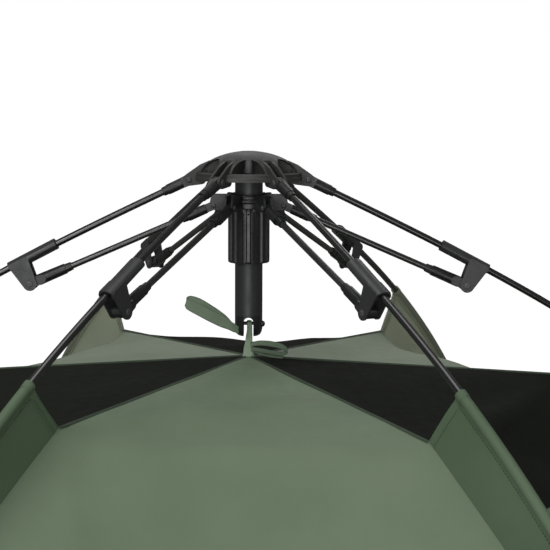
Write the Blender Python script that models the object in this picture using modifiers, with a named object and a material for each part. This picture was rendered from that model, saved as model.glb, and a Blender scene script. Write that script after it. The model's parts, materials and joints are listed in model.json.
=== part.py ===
"""Six-legged pop-up tarp shelter with an umbrella hub.

Metres, +Z up, the ground at Z = 0 and the centre tube on the Z axis. Leg 1 points along +X and the
legs are numbered anticlockwise seen from above, 60 degrees apart. Roof sector n lies between leg n
and leg n + 1, so sector 5 is the front one, facing -Y.

Each leg is modelled once, in its own upright plane: x runs outward from the pole's pivot and z is
up. Heights of the hub's parts are given from the level of the poles' pivots.
"""
from math import atan2, cos, hypot, pi, radians, sin

import bmesh
import bpy
from mathutils import Matrix, Vector
from mathutils.geometry import convex_hull_2d

LEGS = 6
PIVOT_Z = 1.625           # the poles' pivots above the ground
GAP = 0.0004              # between solids that touch

# Hub
POLE_PIVOT_R = 0.0855
STRUT_PIVOT_R = 0.0505
STRUT_PIVOT_Z = -0.037
PIN_R = 0.0026
TUBE_R = 0.020
TUBE_WALL = 0.002
TUBE_TOP = 0.028
TUBE_BOTTOM = -0.200
BOSS_R = 0.0250
RUNNER_BORE_R = 0.0262
CAP_RIM_R = 0.077
CAP_RIM_Z = 0.0
CAP_LEDGE_Z = 0.0105       # the top of the rim's ring, under the windows
DOME_TOP = 0.0415
GRIP_R = 0.030
GRIP_TOP = -0.0400
GRIP_BOTTOM = -0.1192
GRIP_FLUTES = 18
EYE_HALF = 0.0045         # half the thickness of a pole's eye
STRUT_EYE_HALF = 0.0035   # half the thickness of a strut's eyes

# Poles. The pole's slope below the horizontal grows with the square of the length along it.
POLE_R = 0.0049
POLE_SLOPE = 25.5
POLE_BEND = 30.0          # degrees for each square metre
POLE_LENGTH = 1.05        # from the pivot to the knee
BRACKET_AT = 0.274        # along the pole, of the pin in the bracket's ear
EAR_DROP = 0.034          # of that pin, under the pole
FITTING_R = 0.0082
BRACKET_HALF = 0.0117     # half the width of a bracket, across the leg
BRACKET_WALL = 0.0026
EAR_EYE_HALF = 0.0086     # half the thickness of a strut's outer eye
STRUT_R = 0.0046
KNEE_OFFSET = 0.012
LEG_SLOPE = 72.0
FOOT_R = 0.019
FOOT_HEIGHT = 0.016

# Roof
CLOTH = 0.0010
PEAK_R = 0.016
PEAK_Z = -0.2570
RIDGE_DROP = 0.085        # from the pole down to the ridge, square to the pole
RIDGE_DROP_AT_HEM = 0.030
CORNER_AT = 0.452         # along the pole, where the ridge turns down
SLEEVE_FROM = 0.463
HEM_AT = 0.970
SEAM_AT = 0.603           # of the seam across the three dark sectors
RIDGE_GAP = 0.0018        # from the ridge's plane to a sector's edge
FIN_THICK = 0.0020
TIE_WIDTH = 0.0080

BLACK = (0.017, 0.018, 0.018)
GREEN = (0.145, 0.205, 0.125)


def clear_scene():
    for old in list(bpy.data.objects):
        bpy.data.objects.remove(old, do_unlink=True)


def collection(name):
    made = bpy.data.collections.new(name)
    bpy.context.scene.collection.children.link(made)
    return made


clear_scene()
PARTS = collection("tarp_shelter")
CUTTERS = collection("cutters")


def material(name, colour, roughness, metallic=0.0):
    made = bpy.data.materials.new(name)
    made.use_nodes = True
    shader = made.node_tree.nodes["Principled BSDF"]
    shader.inputs["Base Color"].default_value = (*colour, 1.0)
    shader.inputs["Roughness"].default_value = roughness
    shader.inputs["Metallic"].default_value = metallic
    return made


# ---------------------------------------------------------------- mesh helpers

def new_object(name, mesh, home=None):
    made = bpy.data.objects.new(name, mesh)
    (home or PARTS).objects.link(made)
    return made


def mesh_from(bm, name, facing=False):
    """The mesh of a bmesh. With facing, its faces are first turned to point out of the solid."""
    if facing:
        bmesh.ops.recalc_face_normals(bm, faces=bm.faces)
        if bm.calc_volume(signed=True) < 0:
            bmesh.ops.reverse_faces(bm, faces=bm.faces)
    mesh = bpy.data.meshes.new(name)
    bm.to_mesh(mesh)
    bm.free()
    return mesh


def evaluated_mesh(source):
    """The shape of an object after its modifiers, as a mesh with its caps welded."""
    bpy.context.view_layer.update()
    graph = bpy.context.evaluated_depsgraph_get()
    mesh = bpy.data.meshes.new_from_object(source.evaluated_get(graph))
    bm = bmesh.new()
    bm.from_mesh(mesh)
    bmesh.ops.remove_doubles(bm, verts=bm.verts, dist=0.00001)
    bm.to_mesh(mesh)
    bm.free()
    return mesh


def baked(source):
    """Replaces an object by its evaluated shape."""
    mesh = evaluated_mesh(source)
    mesh.transform(source.matrix_world)
    name = source.name
    home = source.users_collection[0]
    bpy.data.objects.remove(source, do_unlink=True)
    return new_object(name, mesh, home)


def cylinder(name, start, end, radius, end_radius=None, sides=12, home=None):
    """A round bar or cone between two points."""
    start, end = Vector(start), Vector(end)
    bm = bmesh.new()
    bmesh.ops.create_cone(bm, cap_ends=True, segments=sides, radius1=radius,
                          radius2=radius if end_radius is None else end_radius,
                          depth=(end - start).length)
    turn = (end - start).to_track_quat("Z", "Y").to_matrix().to_4x4()
    bm.transform(Matrix.Translation((start + end) / 2) @ turn)
    return new_object(name, mesh_from(bm, name), home)


def box(name, low, high, home=None):
    bm = bmesh.new()
    bmesh.ops.create_cube(bm, size=1.0)
    size = [h - l for l, h in zip(low, high)]
    middle = [(h + l) / 2 for l, h in zip(low, high)]
    bm.transform(Matrix.Translation(middle) @ Matrix.Diagonal((*size, 1.0)))
    return new_object(name, mesh_from(bm, name), home)


def turned(name, profile, steps=48, home=None):
    """A solid of revolution about Z. The profile of (radius, z) runs down its outer side."""
    mesh = bpy.data.meshes.new(name)
    count = len(profile)
    closed = profile[0][0] > 0
    edges = [(i, i + 1) for i in range(count - 1)] + ([(count - 1, 0)] if closed else [])
    mesh.from_pydata([(r, 0, z) for r, z in profile], edges, [])
    made = new_object(name, mesh, home)
    screw = made.modifiers.new("turn", "SCREW")
    screw.steps = screw.render_steps = steps
    screw.use_merge_vertices = True
    screw.merge_threshold = 0.00001
    screw.use_smooth_shade = True
    return baked(made)


def plate(name, outline, half_thickness, middle=0.0, home=None):
    """A flat plate: an outline of (x, z) points made thick along y."""
    bm = bmesh.new()
    face = bm.faces.new([bm.verts.new((x, middle - half_thickness, z)) for x, z in outline])
    made = bmesh.ops.extrude_face_region(bm, geom=[face])
    moved = [v for v in made["geom"] if isinstance(v, bmesh.types.BMVert)]
    bmesh.ops.translate(bm, verts=moved, vec=(0, 2 * half_thickness, 0))
    return new_object(name, mesh_from(bm, name, facing=True), home)


def arc(centre, radius, start, end, steps):
    return [(centre[0] + radius * cos(start + (end - start) * i / steps),
             centre[1] + radius * sin(start + (end - start) * i / steps)) for i in range(steps + 1)]


def hull_outline(*circles, steps=10):
    """The outline of a belt round any number of ((x, z), radius) circles."""
    points = [spot for centre, radius in circles for spot in arc(centre, radius, 0, 2 * pi, steps)[:-1]]
    return [points[i] for i in convex_hull_2d([Vector(spot) for spot in points])]


def boolean(target, tool, operation="DIFFERENCE"):
    """Cuts or joins with another object, which is kept among the cutters."""
    step = target.modifiers.new(operation.lower(), "BOOLEAN")
    step.operation = operation
    step.solver = "EXACT"
    step.object = tool
    if tool.name not in CUTTERS.objects:
        for home in list(tool.users_collection):
            home.objects.unlink(tool)
        CUTTERS.objects.link(tool)
    tool.hide_render = True
    tool.display_type = "WIRE"
    return target


def union(target, *tools):
    for tool in tools:
        boolean(target, tool, "UNION")
    return baked(target)


def cut(target, *tools):
    for tool in tools:
        boolean(target, tool)
    return baked(target)


def ring_of(name, mesh, home=None):
    """Six copies of a shape round the Z axis, as one object."""
    bm = bmesh.new()
    for leg in range(LEGS):
        copy = mesh.copy()
        copy.transform(Matrix.Rotation(leg * pi / 3, 4, "Z"))
        bm.from_mesh(copy)
    return new_object(name, mesh_from(bm, name), home)


def finish(part, look, parent=None, smooth=35):
    part.data.materials.clear()
    part.data.materials.append(look)
    part.data.shade_smooth()
    part.data.set_sharp_from_angle(angle=radians(smooth))
    part.parent = parent
    return part


def empty(name, place, turn=0.0, parent=None):
    made = bpy.data.objects.new(name, None)
    PARTS.objects.link(made)
    made.empty_display_size = 0.05
    made.location = place
    made.rotation_euler = (0, 0, turn)
    made.parent = parent
    return made


# ---------------------------------------------------------------- the pole's line

def pole_slope(s):
    return radians(POLE_SLOPE + POLE_BEND * s * s)


def pole_line(length, steps=200):
    """(x, z) along the pole's middle from its pivot, found by adding short steps."""
    x = z = 0.0
    step = length / steps
    for i in range(steps):
        slope = pole_slope((i + 0.5) * step)
        x += step * cos(slope)
        z -= step * sin(slope)
    return x, z


def beside_pole(s, offset):
    """A point square to the pole, at a distance above it (or below, if negative)."""
    x, z = pole_line(s)
    slope = pole_slope(s)
    return x + offset * sin(slope), z + offset * cos(slope)


def ahead(point, slope, distance, offset=0.0):
    """A point along a straight line that slopes down, and square to it."""
    return (point[0] + distance * cos(slope) + offset * sin(slope),
            point[1] - distance * sin(slope) + offset * cos(slope))


def in_plane(point, y=0.0):
    return (point[0], y, point[1])


# Places in a leg's plane, from the pole's pivot
EAR_PIN = beside_pole(BRACKET_AT, -EAR_DROP)
STRUT_PIVOT = (STRUT_PIVOT_R - POLE_PIVOT_R, STRUT_PIVOT_Z)
STRUT_LENGTH = hypot(EAR_PIN[0] - STRUT_PIVOT[0], EAR_PIN[1] - STRUT_PIVOT[1])
STRUT_SLOPE = atan2(STRUT_PIVOT[1] - EAR_PIN[1], EAR_PIN[0] - STRUT_PIVOT[0])
KNEE = beside_pole(POLE_LENGTH, KNEE_OFFSET)
LEG_TURN = radians(LEG_SLOPE)
LEG_LENGTH = (PIVOT_Z + KNEE[1] - KNEE_OFFSET * cos(LEG_TURN) - FOOT_HEIGHT - GAP) / sin(LEG_TURN)

plastic = material("satin_black_plastic", BLACK, 0.38)
gloss = material("gloss_black_rod", BLACK, 0.18)
rivet_metal = material("dark_rivet", (0.20, 0.20, 0.20), 0.35, 1.0)
rubber = material("rubber_grip", (0.022, 0.023, 0.023), 0.55)
green = material("green_cloth", GREEN, 0.75)
dark = material("dark_cloth", (0.018, 0.018, 0.016), 0.80)
webbing = material("green_webbing", (0.060, 0.100, 0.055), 0.70)


# ---------------------------------------------------------------- hub

def rivets(name, radius, z, half_length):
    """Six rivets round the hub, proud of the cheeks that hold them."""
    end = half_length + 0.0012
    rivet = cylinder("rivet", (radius, -end, z), (radius, end, z), PIN_R, sides=8)
    ring = ring_of(name, rivet.data, CUTTERS)
    bpy.data.objects.remove(rivet, do_unlink=True)
    return ring


def hub_cap():
    """A hollow dome with six arched windows, a rim ring and six clevis arms."""
    outer = [(0, DOME_TOP), (0.027, 0.0387), (0.040, 0.0348), (0.054, 0.0288), (0.0665, 0.0175),
             (0.0700, CAP_LEDGE_Z), (CAP_RIM_R, CAP_LEDGE_Z), (CAP_RIM_R, CAP_RIM_Z)]
    inner = [(0.0725, CAP_RIM_Z), (0.0685, 0.0100), (0.0640, 0.0165), (0.0510, 0.0265),
             (0.0400, 0.0312), (0.0250, 0.0350), (0, 0.0375)]
    cap = turned("hub_cap", outer + inner, steps=36)

    cheek_half = EYE_HALF + GAP + 0.0040
    shape = hull_outline(((0.0560, 0.0228), 0.0045), ((0.0668, 0.0142), 0.0080),
                         ((0.0680, 0.0005), 0.0070), ((POLE_PIVOT_R, 0.0), 0.0088))
    arm = plate("arm", shape, cheek_half)
    cap = union(cap, ring_of("arms", arm.data, CUTTERS))
    bpy.data.objects.remove(arm, do_unlink=True)

    slot = box("slot", (0.0520, -EYE_HALF - GAP, -0.04), (0.11, EYE_HALF + GAP, 0.0305))
    cap = cut(cap, ring_of("eye_slots", slot.data, CUTTERS))
    bpy.data.objects.remove(slot, do_unlink=True)

    cap = union(cap, rivets("pole_pins", POLE_PIVOT_R, 0, cheek_half))

    window = plate("window", arc((0, 0.0069), 0.0240, radians(169), radians(11), 9), 0.024, 0.064)
    window.data.transform(Matrix.Rotation(pi / 6 - pi / 2, 4, "Z"))
    cap = cut(cap, ring_of("windows", window.data, CUTTERS))
    bpy.data.objects.remove(window, do_unlink=True)
    return cap


def hub_boss():
    """A round cup inside the dome that holds the centre tube's top."""
    top, bottom = 0.0345, -0.0032
    bore = TUBE_R + GAP
    profile = [(0, top), (BOSS_R - 0.001, top), (BOSS_R, top - 0.001), (BOSS_R, bottom),
               (bore, bottom), (bore, TUBE_TOP + GAP), (0, TUBE_TOP + GAP)]
    return turned("hub_boss", profile, steps=28)


def center_tube():
    inner = TUBE_R - TUBE_WALL
    profile = [(TUBE_R, TUBE_TOP), (TUBE_R, TUBE_BOTTOM), (inner, TUBE_BOTTOM), (inner, TUBE_TOP)]
    return turned("center_tube", profile, steps=28)


def tube_fork():
    """A plug in the tube's end with two prongs and a cross pin that ends in a knob."""
    plug_r = TUBE_R - TUBE_WALL - GAP
    shoulder = TUBE_BOTTOM - GAP
    tip = -0.2320
    profile = [(0, shoulder + 0.025), (plug_r, shoulder + 0.025), (plug_r, shoulder),
               (TUBE_R, shoulder), (TUBE_R, tip + 0.004), (TUBE_R - 0.004, tip), (0, tip)]
    fork = turned("tube_fork", profile, steps=28)
    gap = box("prong_gap", (-0.007, -0.03, -0.26), (0.007, 0.03, shoulder - 0.004))
    fork = cut(fork, gap)
    pin_z = -0.2140
    pin = cylinder("cross_pin", (-0.018, 0, pin_z), (0.022, 0, pin_z), 0.0028, sides=10)
    knob = cylinder("knob", (0.0185, 0, pin_z), (0.0265, 0, pin_z), 0.0062, 0.0050, sides=10)
    return union(fork, pin, knob)


def runner_plate():
    """The sliding collar that carries the six strut clevises."""
    top, bottom = -0.0205, GRIP_TOP + GAP
    outer = 0.0305
    profile = [(outer - 0.0015, top), (outer, top - 0.0015), (outer, bottom), (RUNNER_BORE_R, bottom),
               (RUNNER_BORE_R, top)]
    ring = turned("runner_plate", profile, steps=28)
    cheek_half = STRUT_EYE_HALF + GAP + 0.0030
    shape = hull_outline(((0.0315, -0.0250), 0.0045), ((0.0500, -0.0250), 0.0045),
                         ((STRUT_PIVOT_R, STRUT_PIVOT_Z), 0.0065), ((0.0345, -0.0385), 0.0040))
    arm = plate("arm", shape, cheek_half)
    ring = union(ring, ring_of("runner_arms", arm.data, CUTTERS))
    bpy.data.objects.remove(arm, do_unlink=True)
    slot = box("slot", (0.0425, -STRUT_EYE_HALF - GAP, -0.06), (0.07, STRUT_EYE_HALF + GAP, -0.01))
    ring = cut(ring, ring_of("runner_slots", slot.data, CUTTERS))
    bpy.data.objects.remove(slot, do_unlink=True)
    return union(ring, rivets("strut_pins", STRUT_PIVOT_R, STRUT_PIVOT_Z, cheek_half))


def pull_grip():
    """A fluted sleeve. Its upper part clears the boss and its lower part runs on the tube."""
    depth = 0.0011
    per_flute = 3
    count = GRIP_FLUTES * per_flute
    shelf = -0.0640
    guide = TUBE_R + GAP + 0.0002
    rows = [(GRIP_R - 0.002, GRIP_TOP, 0), (GRIP_R, GRIP_TOP - 0.003, 1), (GRIP_R, GRIP_BOTTOM + 0.003, 1),
            (GRIP_R - 0.002, GRIP_BOTTOM, 0), (guide, GRIP_BOTTOM, 0), (guide, shelf, 0),
            (RUNNER_BORE_R, shelf, 0), (RUNNER_BORE_R, GRIP_TOP, 0)]
    bm = bmesh.new()
    rings = []
    for radius, z, fluted in rows:
        ring = []
        for i in range(count):
            turn = 2 * pi * i / count
            wave = 0.5 - 0.5 * cos(GRIP_FLUTES * turn)
            r = radius - fluted * depth * wave
            ring.append(bm.verts.new((r * cos(turn), r * sin(turn), z)))
        rings.append(ring)
    for row, ring in enumerate(rings):
        below = rings[(row + 1) % len(rings)]
        for i in range(count):
            after = (i + 1) % count
            bm.faces.new((ring[i], below[i], below[after], ring[after]))
    return new_object("pull_grip", mesh_from(bm, "pull_grip", facing=True))


# ---------------------------------------------------------------- a leg's pieces

def rod(name, points, radius, resolution=2):
    """A round rod with flat ends through (x, z) points."""
    curve = bpy.data.curves.new(name, "CURVE")
    curve.dimensions = "3D"
    curve.bevel_depth = radius
    curve.bevel_resolution = resolution
    curve.use_fill_caps = True
    line = curve.splines.new("POLY")
    line.points.add(len(points) - 1)
    for spot, point in zip(line.points, points):
        spot.co = (*in_plane(point), 1.0)
    return baked(new_object(name, curve))


def upper_pole():
    first, last, steps = 0.024, POLE_LENGTH - 0.022, 12
    return rod("upper_pole", [pole_line(first + (last - first) * i / steps) for i in range(steps + 1)],
               POLE_R)


def pole_eye():
    slope = pole_slope(0)
    shape = hull_outline(((0, 0), 0.0082), (ahead((0, 0), slope, 0.0200), 0.0072))
    eye = plate("pole_eye", shape, EYE_HALF)
    sleeve = cylinder("sleeve", in_plane(ahead((0, 0), slope, 0.0110)),
                      in_plane(ahead((0, 0), slope, 0.0420)), 0.0076, 0.0062)
    eye = union(eye, sleeve)
    bore = cylinder("bore", in_plane(ahead((0, 0), slope, 0.0220)),
                    in_plane(ahead((0, 0), slope, 0.0600)), POLE_R + GAP, sides=10)
    hole = cylinder("hole", (0, -0.02, 0), (0, 0.02, 0), PIN_R + GAP, sides=10)
    return cut(eye, bore, hole)


def strut_bracket():
    """A wide sleeve on the pole whose open outer end runs down into an ear of two cheeks."""
    slope = pole_slope(BRACKET_AT)
    middle = pole_line(BRACKET_AT)
    widen = Matrix.Diagonal((1.0, BRACKET_HALF / FITTING_R, 1.0, 1.0))

    def along(distance, offset=0.0, y=0.0):
        return in_plane(ahead(middle, slope, distance, offset), y)

    sleeve = cylinder("strut_bracket", along(-0.060), along(0.016), FITTING_R, sides=16)
    sleeve.data.transform(widen)
    inner = BRACKET_HALF - BRACKET_WALL
    shape = hull_outline((ahead(middle, slope, -0.0110), 0.0040), (ahead(middle, slope, 0.0110), 0.0045),
                         (EAR_PIN, 0.0100))
    cheeks = [plate("cheek", shape, BRACKET_WALL / 2, side * (inner + BRACKET_WALL / 2))
              for side in (-1, 1)]
    rivets = [cylinder("rivet", in_plane(EAR_PIN, side * (BRACKET_HALF - 0.0005)),
                       in_plane(EAR_PIN, side * (BRACKET_HALF + 0.0010)), 0.0042, 0.0034, sides=10)
              for side in (-1, 1)]
    bracket = union(sleeve, *cheeks, *rivets)
    hollow = cylinder("hollow", along(-0.014), along(0.020), FITTING_R - BRACKET_WALL, sides=16)
    hollow.data.transform(Matrix.Diagonal((1.0, inner / (FITTING_R - BRACKET_WALL), 1.0, 1.0)))
    throat = plate("throat", [ahead(middle, slope, -0.014), ahead(middle, slope, 0.020),
                              ahead(middle, slope, 0.020, -0.030), ahead(middle, slope, -0.014, -0.030)],
                   inner)
    bore = cylinder("bore", along(-0.070), along(0.020), POLE_R + 0.0009, sides=10)
    return cut(bracket, hollow, throat, bore)


def strut_line(distance, offset=0.0):
    """A point on the strut's line from its pivot on the runner, in the strut's own frame."""
    return ahead((0, 0), STRUT_SLOPE, distance, offset)


def strut():
    """A rod with a flared fitting and a flat eye at each end."""
    rod_body = cylinder("strut", in_plane(strut_line(0.030)), in_plane(strut_line(STRUT_LENGTH - 0.030)),
                        STRUT_R, sides=10)
    inner = (0.0, 1, 0.0060, STRUT_EYE_HALF, 0.0062, 0.0078, 0.0500)
    outer = (STRUT_LENGTH, -1, 0.0084, EAR_EYE_HALF, 0.0085, 0.0068, 0.0650)
    pieces = []
    for pivot, direction, radius, half, first, last, reach in (inner, outer):
        near, far = strut_line(pivot), strut_line(pivot + direction * 0.018)
        pieces.append(plate("eye", hull_outline((near, radius), (far, 0.0060)), half))
        pieces.append(cylinder("sleeve", in_plane(strut_line(pivot + direction * 0.0135)),
                               in_plane(strut_line(pivot + direction * reach)), first, last))
    body = union(rod_body, *pieces)
    return cut(body, cylinder("hole", (0, -0.02, 0), (0, 0.02, 0), PIN_R + GAP, sides=10))


def knee_clevis():
    """A sleeve on the pole's end with two cheeks that carry the knee's pin."""
    slope = pole_slope(POLE_LENGTH - 0.046)
    start = pole_line(POLE_LENGTH - 0.070)
    end = ahead(start, slope, 0.054)
    body = cylinder("knee_clevis", in_plane(start), in_plane(end), 0.0077, 0.0082)
    inner, thick = EYE_HALF + GAP, 0.0028
    cheeks = [plate("cheek", hull_outline((ahead(end, slope, -0.010), 0.0078), (KNEE, 0.0085)), thick / 2,
                    side * (inner + thick / 2)) for side in (-1, 1)]
    reach = inner + thick + 0.0014
    pin = cylinder("knee_pin", in_plane(KNEE, -reach), in_plane(KNEE, reach), PIN_R, sides=10)
    body = union(body, *cheeks, pin)
    bore = cylinder("bore", in_plane(ahead(start, slope, -0.01)), in_plane(ahead(start, slope, 0.0495)),
                    POLE_R + 0.0012, sides=10)
    return cut(body, bore)


def down_leg(distance):
    """A point on the lower leg's middle line, from the knee's pin."""
    return ahead((0, 0), LEG_TURN, distance, -KNEE_OFFSET)


def lower_leg():
    """An eye, a sleeve and a straight rod."""
    eye = plate("lower_leg", hull_outline(((0, 0), 0.0080), (down_leg(0.022), 0.0065)), EYE_HALF)
    sleeve = cylinder("sleeve", in_plane(down_leg(0.0140)), in_plane(down_leg(0.0600)), 0.0072, 0.0062)
    tube = cylinder("tube", in_plane(down_leg(0.0500)), in_plane(down_leg(LEG_LENGTH - 0.004)), POLE_R,
                    sides=10)
    leg = union(eye, sleeve, tube)
    return cut(leg, cylinder("hole", (0, -0.02, 0), (0, 0.02, 0), PIN_R + GAP, sides=10))


def foot():
    """A turned rubber foot, bored for the leg."""
    ground = -(PIVOT_Z + KNEE[1])
    collar = ground + FOOT_HEIGHT + 0.010
    puck = turned("foot", [(0, collar), (0.0070, collar), (0.0095, ground + FOOT_HEIGHT),
                           (FOOT_R - 0.002, ground + 0.005), (FOOT_R, ground), (0, ground)], steps=16)
    puck.data.transform(Matrix.Translation((down_leg(LEG_LENGTH)[0], 0, 0)))
    bore = cylinder("bore", in_plane(down_leg(LEG_LENGTH - 0.0036)), in_plane(down_leg(LEG_LENGTH - 0.08)),
                    POLE_R + GAP, sides=10)
    return cut(puck, bore)


# ---------------------------------------------------------------- roof

def ridge_point(s):
    """The ridge under a pole, as (radius, z), for a length s along the pole."""
    share = max(0.0, (s - CORNER_AT) / (HEM_AT - CORNER_AT))
    drop = RIDGE_DROP + (RIDGE_DROP_AT_HEM - RIDGE_DROP) * share * share
    x, z = beside_pole(s, -drop)
    return POLE_PIVOT_R + x, z


def ridge(first, last, steps):
    return [ridge_point(first + (last - first) * i / steps) for i in range(steps + 1)]


def peak_to_corner(steps=2):
    corner = ridge_point(CORNER_AT)
    return [(PEAK_R + (corner[0] - PEAK_R) * i / steps, PEAK_Z + (corner[1] - PEAK_Z) * i / steps)
            for i in range(steps)]


def sector(name, line, number, first_gap=0.0, across=2):
    """A sheet between two neighbouring ridges, made thick downward."""
    a, b = radians(60 * (number - 1)), radians(60 * number)
    bm = bmesh.new()
    rows = []
    for radius, z in line:
        start = Vector((radius * cos(a) - first_gap * sin(a), radius * sin(a) + first_gap * cos(a), z))
        end = Vector((radius * cos(b) + RIDGE_GAP * sin(b), radius * sin(b) - RIDGE_GAP * cos(b), z))
        rows.append([bm.verts.new(start.lerp(end, i / across)) for i in range(across + 1)])
    for near, far in zip(rows, rows[1:]):
        for i in range(across):
            bm.faces.new((near[i], far[i], far[i + 1], near[i + 1]))
    made = new_object(name, mesh_from(bm, name))
    if made.data.polygons[0].normal.z < 0:
        made.data.flip_normals()
    thick = made.modifiers.new("thick", "SOLIDIFY")
    thick.thickness = CLOTH
    thick.offset = -1.0
    return baked(made)


def fin():
    """The web from the ridge up to the sleeve under the pole, in the leg's plane from the tube's axis."""
    steps = 7
    lengths = [SLEEVE_FROM + (HEM_AT - SLEEVE_FROM) * i / steps for i in range(steps + 1)]
    top = [beside_pole(s, -POLE_R - 0.0012) for s in lengths]
    top = [(x + POLE_PIVOT_R, z) for x, z in top]
    bottom = [ridge_point(s) for s in [CORNER_AT] + lengths[1:]]
    bottom = [(radius, z - CLOTH / 2) for radius, z in bottom]
    return plate("fin", top + bottom[::-1], FIN_THICK / 2)


def roof_panel(number, line):
    """A sector of the roof with the fin that is sewn into its first ridge."""
    web = fin()
    web.data.transform(Matrix.Rotation((number - 1) * pi / 3, 4, "Z"))
    return union(sector(f"roof_panel_{number}", line, number), web)


def ribbon(name, points, width, thickness=0.0012, side=(0, 1, 0)):
    """A flat strap along points, its width along side."""
    side = Vector(side).normalized() * width / 2
    bm = bmesh.new()
    rows = [(bm.verts.new(Vector(p) - side), bm.verts.new(Vector(p) + side)) for p in points]
    for near, far in zip(rows, rows[1:]):
        bm.faces.new((near[0], far[0], far[1], near[1]))
    made = new_object(name, mesh_from(bm, name))
    thick = made.modifiers.new("thick", "SOLIDIFY")
    thick.thickness = thickness
    thick.offset = 0.0
    return baked(made)


def loop_points(centre, length, height, steps=10):
    """A flat loop that lies to the right of its start, open where it begins."""
    turn = [pi - 0.35 - (2 * pi - 0.7) * i / steps for i in range(steps + 1)]
    return [(centre[0] + length / 2 * (1 + cos(t)), centre[1], centre[2] + height / 2 * sin(t))
            for t in turn]


# ---------------------------------------------------------------- assembly

hub = empty("hub", (0, 0, PIVOT_Z))
runner = empty("runner_slide", (0, 0, STRUT_PIVOT_Z), parent=hub)

finish(hub_cap(), plastic, hub)
finish(hub_boss(), plastic, hub)
finish(center_tube(), gloss, hub)
finish(tube_fork(), plastic, hub)

runner_parts = [(runner_plate(), plastic), (pull_grip(), rubber)]
for part, look in runner_parts:
    part.data.transform(Matrix.Translation((0, 0, -STRUT_PIVOT_Z)))
    finish(part, look, runner)

leg_kit = [(upper_pole(), gloss, "pole"), (pole_eye(), plastic, "pole"), (strut_bracket(), plastic, "pole"),
           (knee_clevis(), plastic, "pole"), (strut(), gloss, "strut"), (lower_leg(), gloss, "knee"),
           (foot(), rubber, "knee")]
for part, look, hinge in leg_kit:
    finish(part, look)

for leg in range(LEGS):
    turn = leg * pi / 3
    out = Vector((cos(turn), sin(turn), 0))
    hinges = {"pole": empty(f"pole_hinge_{leg + 1}", out * POLE_PIVOT_R, turn, hub),
              "strut": empty(f"strut_hinge_{leg + 1}", out * STRUT_PIVOT_R, turn, runner)}
    hinges["knee"] = empty(f"knee_hinge_{leg + 1}", in_plane(KNEE), 0.0, hinges["pole"])
    for part, look, hinge in leg_kit:
        copy = new_object(f"{part.name}_{leg + 1}", part.data)
        copy.parent = hinges[hinge]
for part, look, hinge in leg_kit:
    bpy.data.objects.remove(part, do_unlink=True)

whole_line = peak_to_corner() + ridge(CORNER_AT, HEM_AT, 7)
upper_line = peak_to_corner() + ridge(CORNER_AT, SEAM_AT - 0.0005, 3)
lower_line = ridge(SEAM_AT + 0.0005, HEM_AT, 5)
for number in range(1, LEGS + 1):
    plain = number % 2
    finish(roof_panel(number, whole_line if plain else lower_line), green, hub)
    if not plain:
        finish(sector(f"vent_panel_{number}", upper_line, number, RIDGE_GAP), dark, hub)

short_line = [(0, 0, -0.2172), (0, 0.0006, -0.2300), (0, 0.0004, -0.2450), (0, 0, -0.2560)]
finish(ribbon("short_tie", short_line, 0.0125, side=(1, 0, 0)), webbing, hub)
long_line = [(-0.0255, 0, -0.2150), (-0.0450, -0.0012, -0.2045), (-0.0670, -0.0008, -0.1920),
             (-0.0885, 0, -0.1800)]
finish(ribbon("long_tie", long_line, 0.0150, side=(0.482, 0, 0.876)), webbing, hub)
finish(ribbon("tie_bow", loop_points((0.0080, -0.0060, -0.2450), 0.050, 0.012), TIE_WIDTH), webbing, hub)
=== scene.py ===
"""Looks of the tarp shelter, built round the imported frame.

Metres, +Z up, leg 1 along +X and the front towards -Y. Leg n stands at 60 (n - 1) degrees, and roof
sector n lies between legs n and n + 1. Pieces of a leg are made in its upright plane, where x runs
outward from the pole's pivot and z is up.
"""
import json
from math import atan2, cos, hypot, pi, radians, sin, tan

import bmesh
import bpy
import numpy as np
from mathutils import Matrix, Vector
from mathutils.geometry import convex_hull_2d


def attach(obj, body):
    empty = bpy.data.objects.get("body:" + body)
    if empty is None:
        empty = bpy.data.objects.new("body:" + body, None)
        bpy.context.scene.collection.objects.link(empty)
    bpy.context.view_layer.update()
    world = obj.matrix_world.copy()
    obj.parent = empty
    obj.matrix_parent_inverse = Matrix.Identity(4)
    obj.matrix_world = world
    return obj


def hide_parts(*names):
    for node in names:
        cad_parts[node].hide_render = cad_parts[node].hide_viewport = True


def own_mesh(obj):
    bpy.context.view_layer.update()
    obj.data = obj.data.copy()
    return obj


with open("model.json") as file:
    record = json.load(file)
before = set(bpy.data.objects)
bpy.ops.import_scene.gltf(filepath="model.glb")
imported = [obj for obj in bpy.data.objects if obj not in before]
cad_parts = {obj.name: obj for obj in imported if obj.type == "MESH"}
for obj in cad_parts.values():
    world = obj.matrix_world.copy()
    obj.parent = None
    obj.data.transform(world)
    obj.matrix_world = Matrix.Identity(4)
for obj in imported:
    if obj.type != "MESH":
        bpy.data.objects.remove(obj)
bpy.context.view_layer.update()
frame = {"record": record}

# ---------------------------------------------------------------- places taken from the frame
JOINTS = {joint["name"]: joint for joint in frame["record"]["behaviour"]["joints"]}
POLE_PIVOT_R, _, PIVOT_Z = JOINTS["pole_fold_1"]["pos_m"]
STRUT_PIVOT_R, _, STRUT_PIVOT_HEIGHT = JOINTS["strut_fold_1"]["pos_m"]
KNEE = (JOINTS["knee_1"]["pos_m"][0] - POLE_PIVOT_R, JOINTS["knee_1"]["pos_m"][2] - PIVOT_Z)
STRUT_PIVOT_Z = STRUT_PIVOT_HEIGHT - PIVOT_Z
LEGS = 6

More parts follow.
